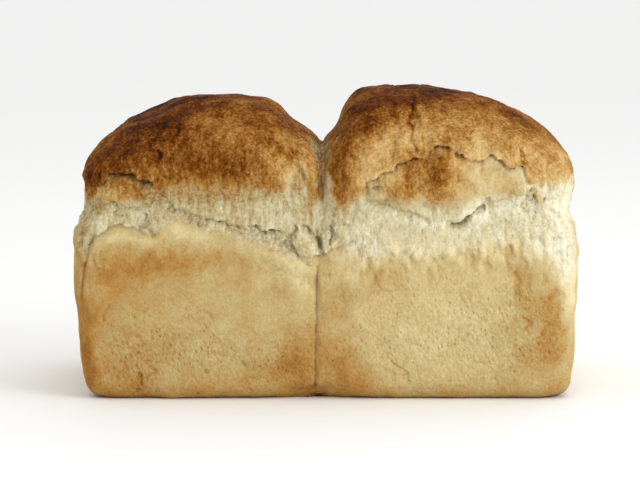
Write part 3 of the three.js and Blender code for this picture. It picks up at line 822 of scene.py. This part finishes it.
RIGHT_END = dict(
    wall_top=[
        (-72, 74), (-56, 80), (-38, 84), (-18, 82), (2, 78), (22, 76), (40, 80), (56, 76), (72, 68),
    ],
    lip=[(-72, 0), (-48, 0.2), (-26, 0.9), (-4, 0.9), (18, 0.2), (44, 0.8), (72, 0.7)],
    crust_edge=[
        (-72, 106), (-52, 108), (-34, 104), (-16, 99), (2, 101), (20, 107), (38, 106), (54, 102),
        (72, 105),
    ],
    fade=[(-72, 9), (-44, 7), (-20, 9), (2, 4), (14, 2), (40, 2), (56, 7), (72, 8)],
    overhang=[(-72, 0.3), (-30, 0.5), (0, 0.8), (16, 1.8), (36, 1.8), (56, 0.8), (72, 0.5)],
    fresh=[(-72, 1), (-30, 0.9), (0, 0.5), (30, 0.6), (72, 0.8)],
    tear=[(-72, 200), (-44, 120), (-34, 88), (-18, 91), (0, 88), (10, 120), (72, 200)],
    lobes=[
        dict(
            bottom=[(2, 92), (14, 89), (30, 88), (44, 92)],
            left=4, right=43, height=1.8,
            tints=[(22, 99, 13, 7, 0.24)],
        ),
    ],
    cracks=[
        ([(1, 94), (8, 103), (22, 107), (36, 105), (44, 98)], 1, 2, 0.75),
        ([(-36, 87), (-18, 90), (-2, 87)], 0.9, 1.3, 0.45),
        ([(-54, 96), (-50, 90), (-46, 88)], 0.8, 1.1, 0.5),
        ([(-28, 86), (-16, 84), (-4, 80)], 0.8, 1.3, 0.5),
        ([(48, 94), (52, 88), (50, 83)], 0.9, 1.2, 0.5),
    ],
    wrinkles=[
        ([(-24, 126), (-26, 116), (-24, 107)], 1.1, 0.8, 0.15),
        ([(6, 130), (8, 120), (5, 112)], 1.1, 0.8, 0.15),
        ([(34, 124), (32, 116), (34, 110)], 1, 0.7, 0.12),
        ([(-40, 78), (-38, 70), (-41, 62)], 1.2, 0.8, 0.05),
        ([(28, 74), (30, 66), (28, 58)], 1.2, 0.8, 0.07),
        ([(-14, 26), (-9, 20), (-8, 13)], 0.9, 0.8, 0.1),
    ],
    tongues=[([(-6, 88), (-8, 81)], (1, 5), 1.5, -0.1)],
    swells=[(-52, 92, 10, 6, 0.4), (-20, 94, 12, 5, -0.5), (0, 36, 36, 22, -0.8)],
    holes=[(-34, 88, 1.1, 1.9), (0, 88, 1, 1.8), (46, 92, 1, 1.6)],
    skin=[(22, 99, 16, 7, 1.3)],
    crumbs=[([(-36, 86), (-18, 88), (0, 86)], 14), ([(46, 94), (52, 86)], 6)],
    crumb_patches=[(50, 90, 5, 6, 0.7)],
    fibres=[(-24, 96, 14, 7, 0.8)],
    pits=[(0, 24, 40, 16, 0.9)],
    crust_tints=[(-50, 114, 16, 10, -0.12), (0, 118, 20, 14, 0.05), (44, 112, 14, 10, 0.08)],
    cream=[(-46, 82, 14, 8, 0.8), (-6, 84, 10, 6, 0.6)],
    torn_tints=[(-50, 92, 12, 10, -0.16), (-10, 94, 12, 4, 0.05), (-6, 84, 6, 5, -0.12)],
    wall_tints=[
        (-52, 60, 12, 14, -0.08), (-14, 62, 16, 10, 0.12), (36, 62, 16, 10, 0.1), (0, 4, 60, 6, 0.14),
        (56, 30, 8, 26, 0.14),
    ],
)


def draw_side(half_length, seed, plan):
    """The maps of one side, drawn from its plan."""
    side = Side(half_length, seed, plan)
    side.draw_edges()
    side.draw_lobes()
    side.draw_tongues()
    side.draw_marks()
    side.draw_texture()
    side.bake_all()
    return side


sides = {
    "front": draw_side(LENGTH_EACH_WAY, 100, FRONT),
    "back": draw_side(LENGTH_EACH_WAY, 200, BACK),
    "left": draw_side(WIDTH_EACH_WAY, 300, LEFT_END),
    "right": draw_side(WIDTH_EACH_WAY, 400, RIGHT_END),
}


# ---------------------------------------------------------------------------------------
# The form
# ---------------------------------------------------------------------------------------
def half_form(half, x, y, z):
    """Below 0 inside one half of the loaf and over 0 outside it."""
    rim = RIM_HEIGHT - SEAM_DIP * bell(x - SEAM_X, SEAM_DIP_SPREAD)
    wall = np.clip((z - BASE_EDGE_RADIUS) / (rim - BASE_EDGE_RADIUS), 0, 1)
    lean = np.sin(wall * (math.pi / 2))
    climb = smoothstep((z - rim) / (CAP_HEIGHT - rim))
    waist = WAIST_INSET * np.sin(climb**WAIST_SHAPE * math.pi)
    dome = np.maximum((z - CAP_HEIGHT) / (half["height"] - CAP_HEIGHT), 0)
    under = np.clip(BASE_EDGE_RADIUS - z, 0, BASE_EDGE_RADIUS)
    inset = BASE_EDGE_RADIUS - np.sqrt(BASE_EDGE_RADIUS**2 - under**2)
    power = lerp(lerp(BASE_SQUARENESS, RIM_SQUARENESS, wall), CAP_SQUARENESS, climb)
    power = lerp(power, CROWN_SQUARENESS, np.minimum(dome, 1))
    from_peak = x - half["peak"]
    is_outer = from_peak * half["outer"][1] > 0
    base, widest, cap = (np.where(is_outer, *ends) for ends in zip(half["outer"], half["buried"]))
    end = lerp(lerp(base, widest, lean), cap, climb)
    reach = np.abs(end - half["peak"]) - inset - np.where(is_outer, waist, 0)
    leaning = TIN_WIDTH / 2 - TIN_FLARE * (1 - lean)
    half_width = lerp(leaning, CAP_WIDTH / 2, climb) - inset - waist
    level = (np.abs(from_peak / reach) ** power + np.abs(y / half_width) ** power) ** (1 / power)
    return np.sqrt(level**2 + dome ** (2 / half["slackness"])) - 1


def slopes_of(function, p, here, step):
    """How fast a function of place grows along each axis."""
    slopes = []
    for axis in range(3):
        ahead = list(p)
        ahead[axis] = p[axis] + step
        slopes.append((function(ahead) - here) / step)
    return slopes


def half_distance(half, p):
    """About how far each point is outside one half, and the way out."""
    here = half_form(half, *p)
    slopes = slopes_of(lambda q: half_form(half, *q), p, here, 0.2)
    steepness = np.sqrt(sum(s * s for s in slopes)) + 1e-6
    return here / steepness, [s / steepness for s in slopes]


def plain_loaf(p):
    """The distance from the smooth loaf, the way out of it, and the cleft between its halves."""
    (left, left_way), (right, right_way) = (half_distance(half, p) for half in HALVES)
    soft = lerp(SOFT_JOIN_WALL, SOFT_JOIN_CLEFT, rise(p[2], *FROM_WALL_TO_CLEFT))
    share = np.clip(0.5 + (right - left) / (2 * soft), 0, 1)
    distance = lerp(right, left, share) - soft * share * (1 - share)
    way = [lerp(b, a, share) for a, b in zip(left_way, right_way)]
    cleft = bell(left - right, CLEFT_SPREAD) * rise(p[2], *CLEFT_BOTTOM)
    return distance, way, cleft


def side_weights(way):
    """How much each side counts at a point, from the way that its surface faces."""
    front = smoothstep((-way[1] - 0.12) / 0.4)
    back = smoothstep((way[1] - 0.12) / 0.4)
    left = smoothstep((-way[0] - 0.45) / 0.4) * (1 - front) * (1 - back)
    right = smoothstep((way[0] - 0.45) / 0.4) * (1 - front) * (1 - back)
    return {"front": front, "back": back, "left": left, "right": right}


def gather(name, p, distance, way, on_top=0):
    """What the sides' maps say at each point, with on_top where none of them counts."""
    v = p[2] + LIP_SLOPE * np.clip(distance, -LIP_REACH, LIP_REACH)
    along = {"front": p[0], "back": p[0], "left": p[1], "right": p[1]}
    weights = side_weights(way)
    drawn = sum(weights[s] * sides[s].sample(name, along[s], v) for s in sides)
    return drawn + (1 - sum(weights.values())) * on_top


def creases(p, spread):
    """Creases that run up and down the domes."""
    return bell(noise(p, (10, 10, 34), 3), spread)


# Swellings and hollows of the whole form: place, size along each axis, millimetres.
FORM_SWELLS = [
    ((-82, -10, 134), (16, 60, 14), -2.6), ((-72, -6, 141), (8, 40, 8), 1.3),
    ((-46, 0, 143), (10, 40, 8), -1.2), ((-26, 0, 140), (8, 40, 9), 1.2),
    ((-14, 0, 130), (9, 60, 10), -2.8), ((4, 0, 127), (7, 60, 9), -3.5),
    ((18, -6, 144), (7, 30, 8), 1.8), ((30, 0, 146), (7, 40, 8), -0.9),
    ((-119, 0, 103), (12, 60, 6), -1.2), ((-119, 0, 83), (12, 60, 6), 3.4),
    ((-119, 0, 38), (10, 60, 9), -1), ((119, 0, 108), (10, 60, 9), -0.4),
    ((118, 0, 118), (10, 60, 10), -0.9), ((119, 0, 97), (10, 60, 5), -0.4),
    ((119, 0, 85.5), (10, 60, 6), 1.6),
]


def loaf_field(p):
    """Below 0 inside the loaf, in about millimetres from its surface."""
    distance, way, cleft = plain_loaf(p)
    relief = gather("relief", p, distance, way)
    on_dome = rise(p[2], *DOME_BOTTOM)
    lumps = lerp(0.3, 0.5, on_dome) * noise(p, 34, 1) + lerp(0.12, 0.18, on_dome) * noise(p, 13, 2)
    relief += lumps - 0.2 * cleft - 0.4 * (creases(p, 0.22) * on_dome)
    for at, size, amount in FORM_SWELLS:
        relief += amount * np.exp(-sum(((p[a] - at[a]) / size[a]) ** 2 for a in range(3)))
    return np.maximum(distance - relief, -p[2])


# ---------------------------------------------------------------------------------------
# The mesh
# ---------------------------------------------------------------------------------------
def in_batches(function, p, size=400000):
    parts = [function([a[i : i + size] for a in p]) for i in range(0, len(p[0]), size)]
    return np.concatenate(parts)


def whole_field(p):
    return in_batches(loaf_field, p)


def fill_grid():
    """The field on a grid: exact in the blocks that the surface may cross."""
    low = np.array([-LENGTH_EACH_WAY - 8, -WIDTH_EACH_WAY - 8, -3 * GRID_STEP])
    high = np.array([LENGTH_EACH_WAY + 8, WIDTH_EACH_WAY + 8, MAP_TOP])
    block = BLOCK_CELLS * GRID_STEP
    count = np.ceil((high - low) / block).astype(int)
    middles = [low[a] + (np.arange(count[a]) + 0.5) * block for a in range(3)]
    grid = np.meshgrid(*middles, indexing="ij")
    coarse = whole_field([g.ravel() for g in grid]).reshape(grid[0].shape)
    field = coarse.astype(np.float32)
    near = np.abs(coarse) < block * 0.87 + 2.5  # half a block's diagonal, and the relief
    for axis in range(3):
        field = np.repeat(field, BLOCK_CELLS, axis)
        near = np.repeat(near, BLOCK_CELLS, axis)
    cells = np.nonzero(near)
    p = [(low[a] + (cells[a] + 0.5) * GRID_STEP).astype(np.float32) for a in range(3)]
    field[near] = whole_field(p)
    return field, low + 0.5 * GRID_STEP


def crossings_along(axis, field):
    """Where the field crosses 0 along an axis, and the four cells round each crossing."""
    one, two = (axis + 1) % 3, (axis + 2) % 3
    start = [slice(None)] * 3
    end = [slice(None)] * 3
    start[axis], end[axis] = slice(0, -1), slice(1, None)
    inside = field < 0
    cells = np.array(np.nonzero(inside[tuple(start)] != inside[tuple(end)]))
    ahead = cells.copy()
    ahead[axis] += 1
    a, b = field[tuple(cells)], field[tuple(ahead)]
    point = cells.astype(float)
    point[axis] += a / (a - b)
    ring = []
    for step_one, step_two in ((1, 1), (0, 1), (0, 0), (1, 0)):
        corner = cells.copy()
        corner[one] -= step_one
        corner[two] -= step_two
        ring.append(np.ravel_multi_index(tuple(corner), field.shape))
    ring = np.array(ring)
    ring[:, a > 0] = ring[::-1, a > 0]
    return ring, point


def surface_net(field, low):
    """The surface where the field is 0: one point in each cell that it crosses, and quads."""
    rings, crossings = zip(*(crossings_along(axis, field) for axis in range(3)))
    rings, crossings = np.hstack(rings), np.hstack(crossings)
    corners = np.unique(rings, return_inverse=True)[1].reshape(rings.shape)
    counts = np.bincount(corners.ravel())
    points = [np.bincount(corners.ravel(), np.tile(c, 4)) / counts for c in crossings]
    return [low[a] + points[a] * GRID_STEP for a in range(3)], corners.T


def pull_to_surface(p):
    """Moves points onto the surface where the field is 0."""
    here = whole_field(p)
    slopes = slopes_of(whole_field, p, here, 0.3)
    steepness = sum(s * s for s in slopes) + 0.05
    move = np.clip(here / steepness, -0.5, 0.5)
    return [p[a] - move * slopes[a] for a in range(3)]


def add_thing(name, data):
    """A new object in the scene."""
    thing = bpy.data.objects.new(name, data)
    bpy.context.scene.collection.objects.link(thing)
    return thing


def make_mesh():
    p, quads = surface_net(*fill_grid())
    p = pull_to_surface(p)
    mesh = bpy.data.meshes.new("loaf_crust")
    mesh.vertices.add(len(p[0]))
    mesh.vertices.foreach_set("co", np.array(p).T.ravel() * MM)
    mesh.loops.add(quads.size)
    mesh.loops.foreach_set("vertex_index", quads.ravel())
    mesh.polygons.add(len(quads))
    mesh.polygons.foreach_set("loop_start", np.arange(0, quads.size, 4))
    mesh.update(calc_edges=True)
    loaf = add_thing("loaf_crust", mesh)
    bpy.context.view_layer.objects.active = loaf
    thin = loaf.modifiers.new("thin", "DECIMATE")
    thin.ratio = min(1, TRIANGLES / (2 * len(quads)))
    bpy.ops.object.modifier_apply(modifier=thin.name)
    mesh = loaf.data
    mesh.polygons.foreach_set("use_smooth", np.ones(len(mesh.polygons), bool))
    return loaf


# Browning of the top, seen from above: (x, y), (half length, half width), amount.
TOP_TINTS = [
    ((44, -14), (24, 18), 0.14), ((-64, -6), (34, 26), 0.1), ((80, 10), (26, 24), -0.03),
    ((-88, 0), (24, 50), 0.12), ((14, 0), (14, 50), 0.14),
]


def add_attributes(mesh):
    """Gives each vertex what the material reads."""
    flat = np.empty(len(mesh.vertices) * 3)
    mesh.vertices.foreach_get("co", flat)
    p = list(flat.reshape(-1, 3).T / MM)
    distance, way, cleft = plain_loaf(p)
    on_top = TOP_BAKE + 0.06 * noise(p, 30, 5)
    for at, size, amount in TOP_TINTS:
        on_top += amount * bell(p[0] - at[0], size[0]) * bell(p[1] - at[1], size[1])
    crust = gather("crust", p, distance, way, 1)
    bake = gather("bake", p, distance, way, on_top)
    bake += crust * (0.035 * noise(p, 26, 6) + 0.025 * noise(p, (8, 8, 18), 7))
    bake += (1 - crust) * 0.02 * noise(p, 20, 8)
    # Painted shade along the creases of the domes, which are also cut into the form
    bake += 0.045 * crust * creases(p, 0.16)
    weights = side_weights(way)
    cleft = cleft * (1 - 0.85 * np.maximum(weights["front"], weights["back"]))
    cleft = np.clip(cleft * (0.9 + 0.45 * noise(p, 22, 9)), 0, 1)
    attributes = {
        "bake": lerp(bake, CLEFT_BAKE, 0.8 * cleft),
        "torn": np.maximum(gather("torn", p, distance, way), 0.9 * cleft),
        # painted shade deep in cracks and holes and round flaps' edges
        "recess_shade": gather("recess_shade", p, distance, way),
        "crust": crust,
        "crumb": np.maximum(gather("crumb", p, distance, way), 0.8 * cleft),
        "pitted": gather("pitted", p, distance, way),
    }
    for name, values in attributes.items():
        layer = mesh.attributes.new(name, "FLOAT", "POINT")
        layer.data.foreach_set("value", np.clip(values, 0, 1).astype(np.float32))


# ---------------------------------------------------------------------------------------
# The material
# ---------------------------------------------------------------------------------------
# Colours by browning, as written in 0 to 255
CRUST_COLOURS = [
    (0.0, (228, 206, 152)), (0.14, (215, 188, 128)), (0.28, (203, 169, 109)), (0.43, (180, 138, 77)),
    (0.58, (151, 101, 42)), (0.73, (112, 61, 12)), (0.87, (76, 35, 6)), (1.0, (40, 17, 5)),
]
WALL_COLOURS = [
    (0.0, (232, 219, 178)), (0.14, (214, 195, 145)), (0.28, (191, 169, 116)), (0.43, (177, 134, 72)),
    (0.58, (149, 98, 40)), (0.73, (114, 64, 19)), (1.0, (50, 24, 8)),
]
CRUMB_COLOURS = [
    (0.0, (244, 240, 217)), (0.2, (219, 209, 174)), (0.38, (192, 178, 136)), (0.58, (166, 130, 76)),
    (0.8, (124, 84, 40)), (1.0, (60, 38, 22)),
]
# Painted shade deep in cracks, holes and round flaps: on the wall and the break, and on the crust
RECESS_SHADE_COLOUR = (108, 80, 42)
CRUST_RECESS_SHADE_COLOUR = (66, 32, 14)
FLOOR_COLOUR = (0.93, 0.93, 0.925, 1)


def linear(colour):
    """The light values, with an opacity of 1, of a colour that is written in 0 to 255."""
    shares = [c / 255 for c in colour]
    return (*(c / 12.92 if c <= 0.04045 else ((c + 0.055) / 1.055) ** 2.4 for c in shares), 1)


class NodeKit:
    """Short ways to add the nodes of one material."""

    def __init__(self, material):
        material.use_nodes = True
        self.nodes = material.node_tree.nodes
        self.links = material.node_tree.links
        self.shader = self.nodes["Principled BSDF"]
        self.place = self.nodes.new("ShaderNodeTexCoord").outputs["Object"]

    def link(self, value, socket):
        if isinstance(value, (int, float, tuple)):
            socket.default_value = value
        else:
            self.links.new(value, socket)

    def attribute(self, name):
        node = self.nodes.new("ShaderNodeAttribute")
        node.attribute_name = name
        return node.outputs["Fac"]

    def maths(self, operation, *values):
        node = self.nodes.new("ShaderNodeMath")
        node.operation = operation
        for value, socket in zip(values, node.inputs):
            self.link(value, socket)
        return node.outputs["Value"]

    def total(self, *terms):
        made = terms[0]
        for term in terms[1:]:
            made = self.maths("ADD", made, term)
        return made

    def times(self, *factors):
        made = factors[0]
        for factor in factors[1:]:
            made = self.maths("MULTIPLY", made, factor)
        return made

    def step(self, value, low, high, to_low=0.0, to_high=1.0):
        node = self.nodes.new("ShaderNodeMapRange")
        node.interpolation_type = "SMOOTHSTEP"
        for wanted, socket in zip((value, low, high, to_low, to_high), node.inputs):
            self.link(wanted, socket)
        return node.outputs["Result"]

    def mix(self, share, a, b):
        node = self.nodes.new("ShaderNodeMix")
        node.data_type = "RGBA"
        self.link(share, node.inputs[0])
        self.link(a, node.inputs[6])
        self.link(b, node.inputs[7])
        return node.outputs[2]

    def ramp(self, share, colours):
        node = self.nodes.new("ShaderNodeValToRGB")
        elements = node.color_ramp.elements
        while len(elements) < len(colours):
            elements.new(0.5)
        for element, (position, colour) in zip(elements, colours):
            element.position = position
            element.color = linear(colour)
        self.link(share, node.inputs["Fac"])
        return node.outputs["Color"]

    def placed(self, stretch, turn):
        """The place on the loaf, drawn out by stretch along axes that are turned in degrees."""
        node = self.nodes.new("ShaderNodeMapping")
        node.vector_type = "TEXTURE"
        node.inputs["Scale"].default_value = stretch
        node.inputs["Rotation"].default_value = [math.radians(t) for t in turn]
        self.links.new(self.place, node.inputs["Vector"])
        return node.outputs["Vector"]

    def noise(self, length, stretch=(1, 1, 1), detail=2.0, turn=(0, 0, 0)):
        """Noise of about -1 to 1, whose usual size is length in millimetres."""
        node = self.nodes.new("ShaderNodeTexNoise")
        node.inputs["Scale"].default_value = 1 / (length * MM)
        node.inputs["Detail"].default_value = detail
        self.links.new(self.placed(stretch, turn), node.inputs["Vector"])
        return self.maths("MULTIPLY_ADD", node.outputs["Fac"], 2.0, -1.0)

    def cells(self, length, stretch=(1, 1, 1), turn=(0, 0, 0)):
        """The distance from the middles of scattered cells, and a random number for each."""
        node = self.nodes.new("ShaderNodeTexVoronoi")
        node.inputs["Scale"].default_value = 1 / (length * MM)
        self.links.new(self.placed(stretch, turn), node.inputs["Vector"])
        return node.outputs["Distance"], node.outputs["Color"]

    def bump(self, height, depth):
        """Bump whose height of 1 is depth millimetres."""
        node = self.nodes.new("ShaderNodeBump")
        node.inputs["Distance"].default_value = depth * MM
        self.link(height, node.inputs["Height"])
        self.links.new(node.outputs["Normal"], self.shader.inputs["Normal"])


def make_material():
    material = bpy.data.materials.new("crust")
    kit = NodeKit(material)
    bake, torn, recess_shade, crust, coarse, pitted = (
        kit.attribute(name) for name in ("bake", "torn", "recess_shade", "crust", "crumb", "pitted")
    )
    grit = kit.noise(0.8, detail=1)
    fine = kit.noise(1.5)
    mottle = kit.noise(4.5, stretch=(1, 1, 1.4), detail=3)
    streaks = kit.noise(2.4, stretch=(1, 1, 4.5))
    strokes = kit.noise(1.5, stretch=(1, 1, 2))
    leather = kit.noise(1.7, stretch=(1, 1, 1.5), turn=(0, -20, 0))
    clouds = kit.noise(16)

    # Pale specks in the crust, and pits and worm-like wrinkles in the wall's skin.
    from_speck, speck_lot = kit.cells(2.1)
    specks = kit.times(kit.step(from_speck, 0.15, 0.45, 1.0, 0.0), kit.step(speck_lot, 0.35, 0.65), crust)
    from_pit, pit_lot = kit.cells(1.7, stretch=(1, 1, 2), turn=(0, -16, 0))
    pits = kit.times(kit.step(from_pit, 0.1, 0.36, 1.0, 0.0), kit.step(pit_lot, 0.2, 0.6), pitted)
    worm = kit.maths("ABSOLUTE", kit.noise(2.4, stretch=(1, 1, 1.3), detail=1))
    worms = kit.times(kit.step(worm, 0.0, 0.09, 1.0, 0.0), pitted)

    # Ragged edges, and the uneven baking of crust and crumb.
    crumb = kit.step(kit.total(torn, kit.times(fine, 0.2), kit.times(streaks, 0.16)), 0.1, 0.9)
    on_crust = kit.total(
        kit.times(mottle, 0.12), kit.times(fine, 0.16), kit.times(grit, 0.13), kit.times(strokes, 0.18),
    )
    on_wall = kit.total(
        kit.times(clouds, 0.04), kit.times(mottle, 0.07), kit.times(fine, 0.08), kit.times(grit, 0.08),
    )
    baked = kit.total(
        bake,
        kit.times(crust, on_crust),
        kit.times(specks, -0.05),
        kit.times(kit.maths("SUBTRACT", 1.0, crust), on_wall),
        kit.times(torn, kit.total(kit.times(streaks, 0.24), kit.times(fine, 0.12))),
        kit.times(coarse, fine, 0.15),
        # The wall's pits and worm-like wrinkles are also painted darker: painted shade in them.
        kit.times(pits, 0.13),
        kit.times(worms, 0.02),
        kit.times(pitted, leather, 0.12),
    )
    skin = kit.mix(crust, kit.ramp(baked, WALL_COLOURS), kit.ramp(baked, CRUST_COLOURS))
    colour = kit.mix(crumb, skin, kit.ramp(baked, CRUMB_COLOURS))
    # Painted shade: cracks, holes and flaps' edges are darkened towards a dark brown.
    dark = kit.mix(crust, linear(RECESS_SHADE_COLOUR), linear(CRUST_RECESS_SHADE_COLOUR))
    colour = kit.mix(kit.times(kit.step(recess_shade, 0.08, 0.9), 0.85), colour, dark)
    kit.link(colour, kit.shader.inputs["Base Color"])

    bare = kit.maths("SUBTRACT", 1.0, kit.maths("MAXIMUM", crumb, crust))
    in_crust = kit.total(kit.times(fine, 0.28), kit.times(mottle, 0.3), kit.times(strokes, 0.3))
    height = kit.total(
        kit.times(crumb, kit.total(kit.times(fine, 0.45), kit.times(streaks, 0.85))),
        kit.times(coarse, kit.total(kit.times(fine, 0.6), kit.times(grit, 0.3))),
        kit.times(crust, in_crust),
        kit.times(specks, 0.04),
        kit.times(bare, fine, 0.22),
        kit.times(pits, -0.4),
        kit.times(worms, -0.1),
        kit.times(pitted, leather, 0.7),
    )
    kit.bump(height, 1)
    kit.link(kit.step(crust, 0.0, 1.0, 0.92, 0.72), kit.shader.inputs["Roughness"])
    kit.shader.inputs["Specular IOR Level"].default_value = 0.035
    return material


# ---------------------------------------------------------------------------------------
# The camera, the lights and the floor
# ---------------------------------------------------------------------------------------
def look_at(thing, target):
    rotation = (target - thing.location).to_track_quat("-Z", "Y")
    thing.rotation_euler = rotation.to_euler()


def make_camera():
    data = bpy.data.cameras.new("camera")
    data.sensor_width = 36
    data.lens = CAMERA_LENS
    camera = add_thing("camera", data)
    elevation = math.radians(CAMERA_ELEVATION)
    away = Vector((0, -math.cos(elevation), math.sin(elevation)))
    camera.location = CAMERA_TARGET + CAMERA_DISTANCE * away
    look_at(camera, CAMERA_TARGET)
    bpy.context.scene.camera = camera


def make_light(name, place, size, power):
    """A square studio light that shines on the loaf."""
    data = bpy.data.lights.new(name, "AREA")
    data.size = size
    data.energy = power
    light = add_thing(name, data)
    light.location = place
    look_at(light, LOAF_MIDDLE)


def make_back_fill():
    """A broad, even light from behind, so that the back is no darker than the ends."""
    data = bpy.data.lights.new("back", "SUN")
    data.energy = 0.45
    data.angle = math.radians(60)
    light = add_thing("back", data)
    light.location = (0.4, 1.6, 0.8)
    look_at(light, LOAF_MIDDLE)


def light_room():
    """Even white light from all round."""
    world = bpy.data.worlds.new("studio")
    world.use_nodes = True
    background = world.node_tree.nodes["Background"]
    background.inputs["Color"].default_value = (1, 1, 1, 1)
    background.inputs["Strength"].default_value = ROOM_LIGHT
    bpy.context.scene.world = world
    bpy.context.scene.view_settings.view_transform = "Standard"


def make_floor():
    reach = FLOOR_REACH
    corners = [(-reach, -reach, 0), (reach, -reach, 0), (reach, reach, 0), (-reach, reach, 0)]
    mesh = bpy.data.meshes.new("floor")
    mesh.from_pydata(corners, [], [(0, 1, 2, 3)])
    floor = add_thing("floor", mesh)
    material = bpy.data.materials.new("floor")
    material.use_nodes = True
    shader = material.node_tree.nodes["Principled BSDF"]
    shader.inputs["Base Color"].default_value = FLOOR_COLOUR
    shader.inputs["Roughness"].default_value = 0.9
    mesh.materials.append(material)


loaf = make_mesh()
add_attributes(loaf.data)
loaf.data.materials.append(make_material())
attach(loaf, "root")
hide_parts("loaf")

make_camera()
make_light("key", (1.2, -1.0, 0.8), 0.8, 10.5)
make_light("top", (0.5, -0.2, 1.7), 1.0, 3)
make_back_fill()
light_room()
make_floor()
